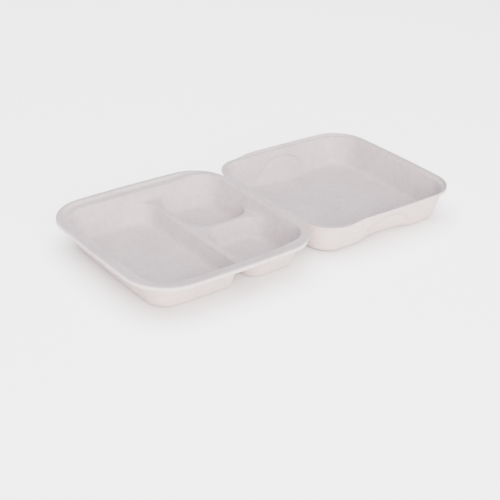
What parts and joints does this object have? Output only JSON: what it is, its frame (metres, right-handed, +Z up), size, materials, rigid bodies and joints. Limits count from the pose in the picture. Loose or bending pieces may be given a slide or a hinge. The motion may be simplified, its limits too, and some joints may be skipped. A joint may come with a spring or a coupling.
{
  "type": "bagasse clamshell container",
  "caption": "Open moulded-fibre clamshell food box: a divided base tray with a recessed ledge and, across a fold, a plain dished lid with arched side panels.",
  "frame": {"origin": "bottom centre of the open container, on the surface it rests on", "axes": "+X from the divided base towards the lid, +Y along the fold line, +Z up"},
  "size_m": [0.4408, 0.229, 0.0412],
  "materials": {
    "moulded_fibre": "matte pressed fibre"
  },
  "bodies": {
    "base": {"base_tray": "moulded_fibre"},
    "lid": {"lid": "moulded_fibre"}
  },
  "joints": [
    {"name": "lid_fold", "type": "hinge", "parent": "base", "child": "lid", "pos_m": [0.0036, 0, 0.03865], "axis": [0, -1, 0], "range_deg": [0, 180.58]}
  ]
}
